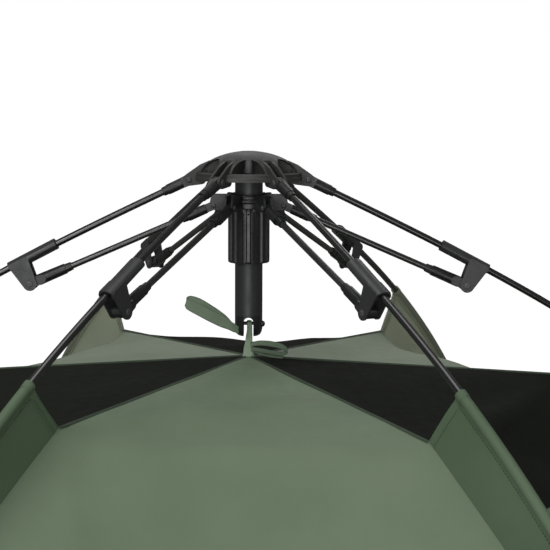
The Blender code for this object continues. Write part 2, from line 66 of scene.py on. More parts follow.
# ---------------------------------------------------------------- sizes, the same as the solids'
TUBE_R = 0.020
BOSS_R = 0.0250
RUNNER_BORE_R = 0.0262
CAP_RIM_R = 0.077
CAP_RIM_Z = 0.0
CAP_LEDGE_Z = 0.0105
DOME_TOP = 0.0415
TUBE_BOTTOM = -0.1965
GRIP_R = 0.030
GRIP_TOP = -0.0400
GRIP_BOTTOM = -0.1192
EYE_HALF = 0.0045
STRUT_EYE_HALF = 0.0035
CAP_CHEEK_HALF = 0.0089
RUNNER_CHEEK_HALF = 0.0069
RIB_HALF = 0.0006
EAR_EYE_HALF = 0.0086
PIN_R = 0.0026
POLE_R = 0.0049
POLE_SLOPE = 25.5
POLE_BEND = 30.0
POLE_LENGTH = 1.05
BRACKET_AT = 0.274
EAR_DROP = 0.034
BRACKET_HALF = 0.0117
BRACKET_WALL = 0.0026
FITTING_R = 0.0082
STRUT_R = 0.0046
KNEE_OFFSET = 0.012
LEG_SLOPE = 72.0
FOOT_R = 0.019
FOOT_HEIGHT = 0.016
PEAK_R = 0.010
PEAK_Z = -0.2570
RIDGE_DROP = 0.085
RIDGE_DROP_AT_HEM = 0.030
CORNER_AT = 0.452
SLEEVE_FROM = 0.463
HEM_AT = 0.970
SEAM_AT = 0.603
CLEAR = 0.0004


# ---------------------------------------------------------------- materials

def new_material(name, colour, roughness):
    made = bpy.data.materials.new(name)
    made.use_nodes = True
    nodes, links = made.node_tree.nodes, made.node_tree.links
    shader = nodes["Principled BSDF"]
    settle(shader, {"Base Color": (*colour, 1.0), "Roughness": roughness})
    place = nodes.new("ShaderNodeTexCoord")
    return made, nodes, links, shader, place.outputs["Object"]


def settle(node, values):
    """Sets a node's inputs."""
    for name, value in values.items():
        node.inputs[name].default_value = value


def noise(nodes, links, place, scale, detail=3.0, roughness=0.5):
    made = nodes.new("ShaderNodeTexNoise")
    settle(made, {"Scale": scale, "Detail": detail, "Roughness": roughness})
    links.new(place, made.inputs["Vector"])
    return made.outputs["Fac"]


def ramp(nodes, links, value, low, high, start=0.3, end=0.7):
    """A value or colour that runs from low to high."""
    made = nodes.new("ShaderNodeMapRange" if isinstance(low, float) else "ShaderNodeValToRGB")
    if isinstance(low, float):
        settle(made, {"From Min": start, "From Max": end, "To Min": low, "To Max": high})
        links.new(value, made.inputs["Value"])
        return made.outputs["Result"]
    first, last = made.color_ramp.elements
    first.position, first.color = start, (*low, 1.0)
    last.position, last.color = end, (*high, 1.0)
    links.new(value, made.inputs["Fac"])
    return made.outputs["Color"]


def bump(nodes, links, height, distance, strength=1.0, below=None):
    made = nodes.new("ShaderNodeBump")
    settle(made, {"Distance": distance, "Strength": strength})
    links.new(height, made.inputs["Height"])
    if below:
        links.new(below, made.inputs["Normal"])
    return made.outputs["Normal"]


def threads(nodes, links, place, pitch, direction):
    """Parallel threads, one every pitch metres."""
    made = nodes.new("ShaderNodeTexWave")
    made.wave_type = "BANDS"
    made.bands_direction = direction
    settle(made, {"Scale": 2 * pi / (20 * pitch), "Distortion": 0.4})
    links.new(place, made.inputs["Vector"])
    return made.outputs["Fac"]


def maths(nodes, links, operation, a, b):
    made = nodes.new("ShaderNodeMath")
    made.operation = operation
    for socket, value in zip(made.inputs, (a, b)):
        if isinstance(value, float):
            socket.default_value = value
        else:
            links.new(value, socket)
    return made.outputs["Value"]


def cloth_material(name, deep, pale, pitch, glow, roughness=0.62, crease=0.0022, shine=0.22, fuzz=0.04):
    """Coated woven cloth: fine threads both ways, uneven dye, soft creases and some light let through."""
    made, nodes, links, shader, place = new_material(name, deep, roughness)
    shade = noise(nodes, links, place, 5.0, 4.0)
    colour = ramp(nodes, links, shade, deep, pale, 0.32, 0.68)
    links.new(colour, shader.inputs["Base Color"])
    links.new(ramp(nodes, links, noise(nodes, links, place, 60.0), roughness - 0.06, roughness + 0.08),
              shader.inputs["Roughness"])
    weave = maths(nodes, links, "ADD", threads(nodes, links, place, pitch, "X"),
                  threads(nodes, links, place, pitch, "Y"))
    folds = bump(nodes, links, noise(nodes, links, place, 11.0, 5.0, 0.55), crease)
    links.new(bump(nodes, links, weave, 0.00006, 0.6, folds), shader.inputs["Normal"])
    settle(shader, {"Sheen Weight": fuzz, "Sheen Roughness": 0.45, "Specular IOR Level": shine})
    through = nodes.new("ShaderNodeBsdfTranslucent")
    links.new(colour, through.inputs["Color"])
    mix = nodes.new("ShaderNodeMixShader")
    settle(mix, {"Fac": glow})
    links.new(shader.outputs["BSDF"], mix.inputs[1])
    links.new(through.outputs["BSDF"], mix.inputs[2])
    links.new(mix.outputs["Shader"], nodes["Material Output"].inputs["Surface"])
    return made


def moulded_material(name, deep, pale, roughness, grain=0.00010, coat=0.0, grain_scale=900.0):
    """Moulded plastic or paint: fine grain, faint mottling, edges rubbed a little paler."""
    made, nodes, links, shader, place = new_material(name, deep, roughness)
    mottled = ramp(nodes, links, noise(nodes, links, place, 30.0, 4.0), deep, pale, 0.3, 0.75)
    edges = nodes.new("ShaderNodeNewGeometry").outputs["Pointiness"]
    worn = ramp(nodes, links, edges, 0.0, 0.55, 0.52, 0.62)
    mix = nodes.new("ShaderNodeMix")
    mix.data_type = "RGBA"
    links.new(worn, mix.inputs["Factor"])
    links.new(mottled, mix.inputs["A"])
    settle(mix, {"B": (*[0.012 + 2.2 * c for c in pale], 1.0)})
    links.new(mix.outputs["Result"], shader.inputs["Base Color"])
    links.new(ramp(nodes, links, noise(nodes, links, place, 45.0, 4.0), roughness - 0.05, roughness + 0.09),
              shader.inputs["Roughness"])
    links.new(bump(nodes, links, noise(nodes, links, place, grain_scale, 2.0), grain, 0.7),
              shader.inputs["Normal"])
    settle(shader, {"Coat Weight": coat, "Coat Roughness": 0.08})
    return made


COARSE, CLOTH, TAPE, SEWING = 0.0012, 0.0009, 0.0008, 0.0004
GREEN = cloth_material("green_cloth", (0.140, 0.192, 0.120), (0.166, 0.220, 0.144), CLOTH, 0.14)
# A darker copy of the green cloth for the sleeves: painted shade, as the sleeves get less light than the
# roof.
SHADED_SLEEVE_GREEN = cloth_material("sleeve_cloth", (0.090, 0.138, 0.080), (0.120, 0.172, 0.106), CLOTH, 0.12)
# A paler copy of the green cloth for the back sectors: painted light, standing in for the light that comes
# through them from behind.
BACKLIT_GREEN = cloth_material("pale_green_cloth", (0.185, 0.222, 0.164), (0.224, 0.262, 0.200), CLOTH, 0.30)
SUNLIT_GREEN = cloth_material("sunlit_green_cloth", (0.500, 0.535, 0.440), (0.580, 0.615, 0.515), CLOTH,
                              0.70)
DARK = cloth_material("dark_cloth", (0.0130, 0.0146, 0.0112), (0.0150, 0.0166, 0.0130), COARSE, 0.02,
                      roughness=0.85, crease=0.0012, shine=0.05, fuzz=0.0)
WEBBING = cloth_material("green_webbing", (0.125, 0.175, 0.115), (0.205, 0.265, 0.185), TAPE, 0.15,
                         roughness=0.7, crease=0.0012)
PALE_WEBBING = cloth_material("pale_webbing", (0.320, 0.425, 0.300), (0.400, 0.510, 0.370), TAPE, 0.15,
                              roughness=0.7, crease=0.0012)
THREAD = cloth_material("green_thread", (0.030, 0.048, 0.028), (0.050, 0.072, 0.045), SEWING, 0.05,
                        roughness=0.7, crease=0.0002)
PLASTIC = moulded_material("black_plastic", (0.0085, 0.0090, 0.0090), (0.0150, 0.0155, 0.0155), 0.36)
CAP_LOOK = moulded_material("cap_plastic", (0.0100, 0.0105, 0.0095), (0.0160, 0.0165, 0.0150), 0.50)
GREY_PLASTIC = moulded_material("grey_worn_plastic", (0.020, 0.022, 0.022), (0.035, 0.037, 0.036), 0.30)
GRIP_LOOK = moulded_material("grip_plastic", (0.0090, 0.0095, 0.0095), (0.0150, 0.0155, 0.0155), 0.30)
ROD_LOOK = moulded_material("gloss_black_pole", (0.0070, 0.0070, 0.0068), (0.011, 0.011, 0.0105), 0.24,
                            grain=0.000004, coat=0.5)
TUBE_LOOK = moulded_material("satin_black_tube", (0.0145, 0.0155, 0.0155), (0.021, 0.022, 0.0220), 0.44,
                             grain=0.000008)
RIVET_LOOK = moulded_material("rivet_steel", (0.030, 0.031, 0.032), (0.060, 0.060, 0.060), 0.34)
RUBBER = moulded_material("foot_rubber", (0.018, 0.018, 0.018), (0.030, 0.030, 0.029), 0.62,
                          grain=0.00018, grain_scale=500.0)


# ---------------------------------------------------------------- mesh helpers

def new_object(name, data):
    made = bpy.data.objects.new(name, data)
    bpy.context.scene.collection.objects.link(made)
    return made


def mesh_from(bm, name, facing=False):
    if facing:
        bmesh.ops.recalc_face_normals(bm, faces=bm.faces)
        if bm.calc_volume(signed=True) < 0:
            bmesh.ops.reverse_faces(bm, faces=bm.faces)
    mesh = bpy.data.meshes.new(name)
    bm.to_mesh(mesh)
    bm.free()
    return mesh


def removed(*objects):
    for old in objects:
        bpy.data.objects.remove(old, do_unlink=True)


def baked(source):
    """The same object with its modifiers applied and its place moved into its mesh."""
    bpy.context.view_layer.update()
    graph = bpy.context.evaluated_depsgraph_get()
    mesh = bpy.data.meshes.new_from_object(source.evaluated_get(graph))
    mesh.transform(source.matrix_world)
    name = source.name
    removed(source)
    return new_object(name, mesh)


def cylinder(start, end, radius, end_radius=None, sides=40):
    start, end = Vector(start), Vector(end)
    bm = bmesh.new()
    bmesh.ops.create_cone(bm, cap_ends=True, segments=sides, radius1=radius,
                          radius2=radius if end_radius is None else end_radius,
                          depth=(end - start).length)
    turn = (end - start).to_track_quat("Z", "Y").to_matrix().to_4x4()
    bm.transform(Matrix.Translation((start + end) / 2) @ turn)
    return new_object("cylinder", mesh_from(bm, "cylinder"))


def box(low, high):
    bm = bmesh.new()
    bmesh.ops.create_cube(bm, size=1.0)
    size = [h - l for l, h in zip(low, high)]
    bm.transform(Matrix.Translation([(h + l) / 2 for l, h in zip(low, high)]) @ Matrix.Diagonal((*size, 1.0)))
    return new_object("box", mesh_from(bm, "box"))


def turned(name, profile, steps=96):
    """A solid of revolution about Z from a (radius, z) profile that runs down its outer side."""
    count = len(profile)
    edges = [(i, i + 1) for i in range(count - 1)] + ([(count - 1, 0)] if profile[0][0] > 0 else [])
    mesh = bpy.data.meshes.new(name)
    mesh.from_pydata([(r, 0, z) for r, z in profile], edges, [])
    made = new_object(name, mesh)
    screw = made.modifiers.new("turn", "SCREW")
    screw.steps = screw.render_steps = steps
    screw.use_merge_vertices = True
    screw.merge_threshold = 0.00001
    return baked(made)


def plate(outline, half_thickness, middle=0.0):
    """A flat plate: an outline of (x, z) points made thick along y."""
    bm = bmesh.new()
    face = bm.faces.new([bm.verts.new((x, middle - half_thickness, z)) for x, z in outline])
    made = bmesh.ops.extrude_face_region(bm, geom=[face])
    moved = [v for v in made["geom"] if isinstance(v, bmesh.types.BMVert)]
    bmesh.ops.translate(bm, verts=moved, vec=(0, 2 * half_thickness, 0))
    return new_object("plate", mesh_from(bm, "plate", facing=True))


def arc(centre, radius, start, end, steps):
    return [(centre[0] + radius * cos(start + (end - start) * i / steps),
             centre[1] + radius * sin(start + (end - start) * i / steps)) for i in range(steps + 1)]


def hull_outline(*circles, steps=28):
    """The outline of a belt round any number of ((x, z), radius) circles."""
    points = [spot for centre, radius in circles for spot in arc(centre, radius, 0, 2 * pi, steps)[:-1]]
    return [points[i] for i in convex_hull_2d([Vector(spot) for spot in points])]


def boolean(target, operation, tools):
    for tool in tools:
        step = target.modifiers.new(operation.lower(), "BOOLEAN")
        step.operation = operation
        step.solver = "EXACT"
        step.object = tool
    made = baked(target)
    removed(*tools)
    return made


def union(target, *tools):
    return boolean(target, "UNION", tools)


def cut(target, *tools):
    return boolean(target, "DIFFERENCE", tools)


def joined(name, parts):
    """Several parts as one object."""
    bm = bmesh.new()
    for part in parts:
        bm.from_mesh(part.data)
    removed(*parts)
    return new_object(name, mesh_from(bm, name))


def ring_of(part):
    """Copies of a part round the Z axis, one for each leg, as one object."""
    copies = [new_object("copy", part.data.copy()) for _ in range(LEGS)]
    for i, copy in enumerate(copies):
        copy.data.transform(Matrix.Rotation(i * 2 * pi / LEGS, 4, "Z"))
    removed(part)
    return joined("ring", copies)


def smoothed(part, angle):
    """Shades a part smooth, apart from edges sharper than an angle."""
    part.data.shade_smooth()
    part.data.set_sharp_from_angle(angle=radians(angle))
    return part


def rounded(part, width=0.0004, segments=2, angle=38):
    """Breaks a part's sharp edges."""
    soft = smoothed(part, angle).modifiers.new("edges", "BEVEL")
    soft.width = width
    soft.segments = segments
    soft.limit_method = "ANGLE"
    soft.angle_limit = radians(angle)
    soft.harden_normals = True
    soft.use_clamp_overlap = True
    return baked(part)


def widened(part, share):
    part.data.transform(Matrix.Diagonal((1.0, share, 1.0, 1.0)))
    return part


def dressed(part, name, body, look, slot, *nodes):
    """Names a piece, gives it its material, hangs it on the body that carries it and hides the parts it
    stands for.
    """
    part.name = name
    part.data.name = name
    part.data.materials.clear()
    part.data.materials.append(look)
    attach(part, body)
    if nodes:
        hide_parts(*nodes)
    return part


# ---------------------------------------------------------------- lines in a leg's plane

def pole_slope(s):
    return radians(POLE_SLOPE + POLE_BEND * s * s)


def pole_line(length, steps=200):
    x = z = 0.0
    step = length / steps
    for i in range(steps):
        slope = pole_slope((i + 0.5) * step)
        x += step * cos(slope)
        z -= step * sin(slope)
    return x, z


def beside_pole(s, offset):
    x, z = pole_line(s)
    slope = pole_slope(s)
    return x + offset * sin(slope), z + offset * cos(slope)


def ahead(point, slope, distance, offset=0.0):
    return (point[0] + distance * cos(slope) + offset * sin(slope),
            point[1] - distance * sin(slope) + offset * cos(slope))


def in_plane(point, y=0.0):
    return (point[0], y, point[1])


EAR_PIN = beside_pole(BRACKET_AT, -EAR_DROP)
STRUT_LENGTH = hypot(EAR_PIN[0] + POLE_PIVOT_R - STRUT_PIVOT_R, EAR_PIN[1] - STRUT_PIVOT_Z)
STRUT_SLOPE = atan2(STRUT_PIVOT_Z - EAR_PIN[1], EAR_PIN[0] + POLE_PIVOT_R - STRUT_PIVOT_R)
LEG_TURN = radians(LEG_SLOPE)
LEG_LENGTH = (PIVOT_Z + KNEE[1] - KNEE_OFFSET * cos(LEG_TURN) - FOOT_HEIGHT - CLEAR) / sin(LEG_TURN)


def heading(leg):
    """Which way a leg points, turned from +X."""
    return radians(60 * (leg - 1))


def leg_place(leg, radius=POLE_PIVOT_R, height=PIVOT_Z):
    """From a leg's plane to the shelter's own frame."""
    return Matrix.Rotation(heading(leg), 4, "Z") @ Matrix.Translation((radius, 0, height))


# ---------------------------------------------------------------- hub

def raised(part):
    part.data.transform(Matrix.Translation((0, 0, PIVOT_Z)))
    return part


def hub_cap():
    """A hollow dome with six arched windows, a stepped rim ring and six clevis arms."""
    outer = [(0, DOME_TOP), (0.010, 0.0412), (0.019, 0.0400), (0.027, 0.0386), (0.034, 0.0368),
             (0.041, 0.0345), (0.048, 0.0317), (0.054, 0.0287), (0.0595, 0.0250), (0.0640, 0.0208),
             (0.0672, 0.0165), (0.0692, 0.0125), (0.0700, CAP_LEDGE_Z + 0.0006), (0.0706, CAP_LEDGE_Z),
             (0.0752, CAP_LEDGE_Z), (0.0758, CAP_LEDGE_Z - 0.0006), (0.0758, 0.0058), (0.0764, 0.0052),
             (CAP_RIM_R - 0.0004, 0.0050), (CAP_RIM_R, 0.0044), (CAP_RIM_R, CAP_RIM_Z)]
    inner = [(0.0725, CAP_RIM_Z), (0.0705, 0.0060), (0.0685, 0.0100), (0.0665, 0.0132), (0.0640, 0.0165),
             (0.0600, 0.0202), (0.0560, 0.0232), (0.0510, 0.0265), (0.0460, 0.0290), (0.0400, 0.0312),
             (0.0330, 0.0333), (0.0250, 0.0350), (0.0130, 0.0366), (0, 0.0375)]
    cap = turned("hub_cap", outer + inner, steps=120)
    arm = plate(hull_outline(((0.0560, 0.0228), 0.0045), ((0.0668, 0.0142), 0.0080),
                             ((0.0680, 0.0005), 0.0070), ((POLE_PIVOT_R, 0.0), 0.0088)), CAP_CHEEK_HALF)
    cap = union(cap, ring_of(arm))
    slot = box((0.0520, -EYE_HALF - CLEAR, -0.04), (0.11, EYE_HALF + CLEAR, 0.0305))
    window = plate(arc((0, 0.0069), 0.0240, radians(169), radians(11), 32), 0.024, 0.064)
    window.data.transform(Matrix.Rotation(-pi / 3, 4, "Z"))
    cap = cut(cap, ring_of(slot), ring_of(window))
    rib = [(0.0330, 0.0020), (0.0600, 0.0020), (0.0600, 0.0215), (0.0510, 0.0275), (0.0400, 0.0322),
           (0.0275, 0.0355), (0.0275, 0.0190), (0.0330, 0.0175)]
    ribs = [plate(rib, RIB_HALF, side * (CAP_CHEEK_HALF - RIB_HALF)) for side in (-1, 1)]
    cap = union(cap, ring_of(ribs[0]), ring_of(ribs[1]))
    return rounded(raised(cap), 0.0006, 3)


def rivet_heads(radius, z, reach, head_r=0.0044):
    """Domed heads at both ends of six pins."""
    domes = []
    for side in (-1, 1):
        dome = turned("dome", [(0, 0.0015), (head_r * 0.55, 0.00125), (head_r * 0.9, 0.0006), (head_r, 0),
                               (0, 0)], steps=24)
        dome.data.transform(Matrix.Translation((radius, side * reach, z))
                            @ Matrix.Rotation(-side * pi / 2, 4, "X"))
        domes.append(ring_of(dome))
    made = joined("heads", domes)
    made.data.shade_smooth()
    return made


def hub_boss():
    """The stepped boss that shows through the windows."""
    top, bottom = 0.0345, -0.0032
    bore = TUBE_R + CLEAR
    profile = [(0, top), (BOSS_R - 0.002, top), (BOSS_R - 0.001, top - 0.001), (BOSS_R - 0.001, 0.0100),
               (BOSS_R, 0.0090), (BOSS_R, 0.0035), (BOSS_R - 0.0010, 0.0025), (BOSS_R - 0.0026, 0.0005),
               (BOSS_R - 0.0026, bottom + 0.0008), (BOSS_R - 0.0034, bottom), (bore, bottom), (bore, 0.0284),
               (0, 0.0284)]
    return rounded(raised(turned("boss", profile, 96)), 0.0003, 2, 30)


def center_tube():
    profile = [(TUBE_R, 0.028), (TUBE_R, TUBE_BOTTOM), (TUBE_R - 0.002, TUBE_BOTTOM), (TUBE_R - 0.002, 0.028)]
    return rounded(raised(turned("tube", profile, 96)), 0.0004, 2)


def tube_fork():
    plug_r, shoulder, tip = TUBE_R - 0.0024, TUBE_BOTTOM - 0.0001, -0.2262
    fork = turned("fork", [(0, shoulder + 0.02), (plug_r, shoulder + 0.02), (plug_r, shoulder),
                           (TUBE_R, shoulder), (TUBE_R, tip + 0.0110), (TUBE_R - 0.0010, tip + 0.0060),
                           (TUBE_R - 0.0030, tip + 0.0022), (TUBE_R - 0.0058, tip + 0.0004),
                           (TUBE_R - 0.0085, tip), (0, tip)], 72)
    notch_r, arch_z, below = 0.007, shoulder - 0.0082, tip - 0.04
    notch = plate([(-notch_r, below)] + arc((0, arch_z), notch_r, pi, 0, 20) + [(notch_r, below)], 0.03)
    fork = cut(fork, notch)
    pin_z, knob_r = -0.2085, 0.0047
    rim = arc((0, 0), knob_r, pi / 2, -pi / 2, 12)[1:-1]
    knob = turned("knob", [(0, knob_r)] + rim + [(0, -knob_r)], 32)
    knob.data.transform(Matrix.Translation((0.0193, -0.0040, pin_z)))
    fork = union(fork, cylinder((-0.018, 0, pin_z), (0.019, 0, pin_z), 0.0026, sides=24), knob)
    return rounded(raised(fork), 0.0006, 3)


def runner_plate():
    """The sliding collar with six pairs of cheeks and a rounded bead above the grip."""
    top, bottom, outer = -0.0205, GRIP_TOP + CLEAR, 0.0305
    collar = [(0.0045, 0.0), (0.0030, 0.0003), (0.0024, 0.0012), (0.0024, 0.0056), (0.0014, 0.0064),
              (0.0004, 0.0078), (0.0, 0.0094), (0.0004, 0.0110), (0.0016, 0.0124), (0.0024, 0.0130)]
    ring = turned("runner", [(outer - inset, top - drop) for inset, drop in collar]
                  + [(outer - 0.0024, bottom), (RUNNER_BORE_R, bottom), (RUNNER_BORE_R, top)], 96)
    arm = plate(hull_outline(((0.0315, -0.0250), 0.0045), ((0.0500, -0.0250), 0.0045),
                             ((STRUT_PIVOT_R, STRUT_PIVOT_Z), 0.0065), ((0.0345, -0.0385), 0.0040)),
                RUNNER_CHEEK_HALF)
    slot = box((0.0425, -STRUT_EYE_HALF - CLEAR, -0.06), (0.07, STRUT_EYE_HALF + CLEAR, -0.01))
    ring = cut(union(ring, ring_of(arm)), ring_of(slot))
    return rounded(raised(ring), 0.0006, 3)


def pull_grip():
    """A sleeve with sixteen broad flutes, rounded at both ends, with a small gate mark in front."""
    flutes, per_flute, depth = 16, 12, 0.0022
    count = flutes * per_flute
    guide, shelf = TUBE_R + 0.0006, -0.0640
    rows = [(GRIP_R - 0.0030, GRIP_TOP, 0.0), (GRIP_R - 0.0012, GRIP_TOP - 0.0008, 0.3),
            (GRIP_R - 0.0002, GRIP_TOP - 0.0030, 0.9), (GRIP_R, GRIP_TOP - 0.0060, 1.0),
            (GRIP_R, (GRIP_TOP + GRIP_BOTTOM) / 2, 1.0), (GRIP_R, GRIP_BOTTOM + 0.0040, 1.0),
            (GRIP_R - 0.0002, GRIP_BOTTOM + 0.0015, 0.9), (GRIP_R - 0.0010, GRIP_BOTTOM + 0.0003, 0.7),
            (GRIP_R - 0.0022, GRIP_BOTTOM, 0.4), (guide, GRIP_BOTTOM, 0.0), (guide, shelf, 0.0),
            (RUNNER_BORE_R, shelf, 0.0), (RUNNER_BORE_R, GRIP_TOP, 0.0)]
    bm = bmesh.new()
    rings = []
    for radius, z, fluted in rows:
        ring = []
        for i in range(count):
            turn = 2 * pi * i / count + pi / 2
            wave = 1.0 - min(1.0, max(0.0, 0.5 + 1.15 * cos(flutes * turn)))
            r = radius - fluted * depth * wave
            ring.append(bm.verts.new((r * cos(turn), r * sin(turn), z + PIVOT_Z)))
        rings.append(ring)
    for row, ring in enumerate(rings):
        below = rings[(row + 1) % len(rings)]
        for i in range(count):
            after = (i + 1) % count
            bm.faces.new((ring[i], below[i], below[after], ring[after]))
    grip = new_object("grip", mesh_from(bm, "grip", facing=True))
    dimple = cylinder((0, -0.026, -0.0478 + PIVOT_Z), (0, -0.034, -0.0478 + PIVOT_Z), 0.0016, sides=16)
    return smoothed(cut(grip, dimple), 42)


def make_hub():
    dressed(hub_cap(), "hub_cap_shell", "hub", CAP_LOOK, "black_plastic", "hub_cap")
    dressed(raised(rivet_heads(POLE_PIVOT_R, 0.0, CAP_CHEEK_HALF)), "pole_rivet_heads", "hub", RIVET_LOOK,
            "black_plastic")
    dressed(hub_boss(), "hub_boss_stepped", "hub", GREY_PLASTIC, "black_plastic", "hub_boss")
    dressed(center_tube(), "center_tube_body", "hub", TUBE_LOOK, "tube_black", "center_tube")
    dressed(tube_fork(), "tube_fork_body", "hub", PLASTIC, "black_plastic", "tube_fork")
    dressed(runner_plate(), "runner_body", "runner", PLASTIC, "black_plastic", "runner_plate")
    dressed(raised(rivet_heads(STRUT_PIVOT_R, STRUT_PIVOT_Z, RUNNER_CHEEK_HALF, 0.0038)),
            "strut_rivet_heads", "runner", RIVET_LOOK, "black_plastic")
    dressed(pull_grip(), "pull_grip_fluted", "runner", GRIP_LOOK, "grip_plastic", "pull_grip")


# ---------------------------------------------------------------- legs

def rod(points, radius):
    """A smooth round rod with flat ends through (x, z) points."""
    curve = bpy.data.curves.new("rod", "CURVE")
    curve.dimensions = "3D"
    curve.bevel_depth = radius
    curve.bevel_resolution = 6
    curve.use_fill_caps = True
    line = curve.splines.new("POLY")
    line.points.add(len(points) - 1)
    for spot, point in zip(line.points, points):
        spot.co = (*in_plane(point), 1.0)
    return smoothed(baked(new_object("rod", curve)), 50)


def pin_hole():
    return cylinder((0, -0.02, 0), (0, 0.02, 0), PIN_R + CLEAR, sides=24)


def upper_pole():
    first, last, steps = 0.024, POLE_LENGTH - 0.022, 60
    return rod([pole_line(first + (last - first) * i / steps) for i in range(steps + 1)], POLE_R)


def pole_eye():
    """The pole's end fitting: a flat eye, a wide oval sleeve and a narrower stepped nose."""
    slope = pole_slope(0)

    def along(distance):
        return in_plane(ahead((0, 0), slope, distance))

    eye = plate(hull_outline(((0, 0), 0.0082), (ahead((0, 0), slope, 0.0200), 0.0072)), EYE_HALF)
    sleeve = widened(cylinder(along(0.0110), along(0.0345), 0.0078, 0.0075), 1.10)
    nose = cylinder(along(0.0330), along(0.0420), 0.0069, 0.0063)
    eye = union(eye, sleeve, nose)
    eye = cut(eye, cylinder(along(0.0360), along(0.0600), POLE_R + CLEAR),
              pin_hole())
    return rounded(eye, 0.0007, 3)


def strut_bracket():
    """A wide sleeve whose open outer end runs down into an ear of two cheeks."""
    slope = pole_slope(BRACKET_AT)
    middle = pole_line(BRACKET_AT)

    def along(distance, offset=0.0, y=0.0):
        return in_plane(ahead(middle, slope, distance, offset), y)

    wide = BRACKET_HALF / FITTING_R
    sleeve = widened(cylinder(along(-0.060), along(0.016), FITTING_R, sides=56), wide)
    inner = BRACKET_HALF - BRACKET_WALL
    shape = hull_outline((ahead(middle, slope, -0.0110), 0.0040), (ahead(middle, slope, 0.0110), 0.0045),
                         (EAR_PIN, 0.0100))
    cheeks = [plate(shape, BRACKET_WALL / 2, side * (inner + BRACKET_WALL / 2)) for side in (-1, 1)]
    bracket = union(sleeve, *cheeks)
    hollow = widened(cylinder(along(-0.014), along(0.020), FITTING_R - BRACKET_WALL, sides=40),
                     inner / (FITTING_R - BRACKET_WALL))
    throat = plate([ahead(middle, slope, -0.014), ahead(middle, slope, 0.020),
                    ahead(middle, slope, 0.020, -0.030), ahead(middle, slope, -0.014, -0.030)], inner)
    bore = cylinder(along(-0.070), along(0.020), POLE_R + 0.0009)
    return rounded(cut(bracket, hollow, throat, bore), 0.0007, 3)


def ear_rivets():
    """The rolled rims of the rivet at the bracket's ear."""
    rims = []
    for side in (-1, 1):
        rim = turned("rivet", [(0.0012, 0.0012), (0.0030, 0.0016), (0.0042, 0.0008), (0.0042, -0.0004),
                               (0.0012, -0.0004)], 24)
        rim.data.transform(Matrix.Translation(in_plane(EAR_PIN, side * BRACKET_HALF))
                           @ Matrix.Rotation(-side * pi / 2, 4, "X"))
        rims.append(rim)
    return smoothed(joined("rivets", rims), 50)


def strut_line(distance, offset=0.0):
    return ahead((0, 0), STRUT_SLOPE, distance, offset)


def strut_rod():
    near, far = 0.030, STRUT_LENGTH - 0.030
    return rod([strut_line(near), strut_line((near + far) / 2), strut_line(far)], STRUT_R)


def strut_end(outer):
    """A moulded end: an eye, a fat rounded sleeve and a short nose where the rod goes in."""
    pivot, direction = (STRUT_LENGTH, -1) if outer else (0.0, 1)
    radius, half, wide = (0.0084, EAR_EYE_HALF, 1.0) if outer else (0.0060, STRUT_EYE_HALF, 1.28)

    def along(distance):
        return in_plane(strut_line(pivot + direction * distance))

    near, far = strut_line(pivot), strut_line(pivot + direction * 0.018)
    eye = plate(hull_outline((near, radius), (far, 0.0062)), half)
    length = 0.0650 if outer else 0.0500
    sleeve = widened(cylinder(along(0.0120), along(length - 0.0100), 0.0082 if outer else 0.0070, 0.0076),
                     wide)
    nose = cylinder(along(length - 0.0115), along(length), 0.0068, 0.0060)
    end = union(eye, sleeve, nose)
    tools = [cylinder(along(length - 0.0060), along(length + 0.0100), STRUT_R + CLEAR)]
    if not outer:
        tools.append(pin_hole())
    return rounded(cut(end, *tools), 0.0006, 3)


def knee_clevis():
    slope = pole_slope(POLE_LENGTH - 0.046)
    start = pole_line(POLE_LENGTH - 0.070)
    end = ahead(start, slope, 0.054)
    body = cylinder(in_plane(start), in_plane(end), 0.0077, 0.0082)
    inner, thick = EYE_HALF + CLEAR, 0.0028
    cheeks = [plate(hull_outline((ahead(end, slope, -0.010), 0.0078), (KNEE, 0.0085)), thick / 2,
                    side * (inner + thick / 2)) for side in (-1, 1)]
    body = union(body, *cheeks)
    body = cut(body, cylinder(in_plane(ahead(start, slope, -0.01)), in_plane(ahead(start, slope, 0.0495)),
                              POLE_R + 0.0012))
    return rounded(body, 0.0006, 3)


def knee_pin():
    reach = EYE_HALF + CLEAR + 0.0028 + 0.0014
    return rounded(cylinder(in_plane(KNEE, -reach), in_plane(KNEE, reach), PIN_R, sides=28), 0.0005, 2)


def down_leg(distance):
    return ahead((0, 0), LEG_TURN, distance, -KNEE_OFFSET)


def leg_rod():
    return rod([down_leg(0.050), down_leg(LEG_LENGTH / 2), down_leg(LEG_LENGTH - 0.004)], POLE_R)


def leg_eye():
    eye = plate(hull_outline(((0, 0), 0.0080), (down_leg(0.022), 0.0065)), EYE_HALF)
    sleeve = cylinder(in_plane(down_leg(0.0140)), in_plane(down_leg(0.0600)), 0.0072, 0.0062)
    eye = union(eye, sleeve)
    eye = cut(eye, cylinder(in_plane(down_leg(0.0500)), in_plane(down_leg(0.0700)), POLE_R + CLEAR),
              pin_hole())
    return rounded(eye, 0.0006, 3)


def foot():
    """A rubber foot with a grooved skirt."""
    collar = FOOT_HEIGHT + 0.010
    puck = turned("foot", [(0, collar), (0.0062, collar), (0.0070, collar - 0.001), (0.0095, FOOT_HEIGHT),
                           (0.0135, 0.0110), (0.0130, 0.0100), (0.0160, 0.0070), (0.0155, 0.0060),
                           (FOOT_R - 0.001, 0.0035), (FOOT_R, 0.0022), (FOOT_R, 0.0006),
                           (FOOT_R - 0.0008, 0), (0, 0)], 64)
    puck.data.transform(Matrix.Translation((down_leg(LEG_LENGTH)[0], 0, -(PIVOT_Z + KNEE[1]))))
    bore = cylinder(in_plane(down_leg(LEG_LENGTH - 0.0036)), in_plane(down_leg(LEG_LENGTH - 0.08)),
                    POLE_R + CLEAR)
    return rounded(cut(puck, bore), 0.0003, 2, 30)


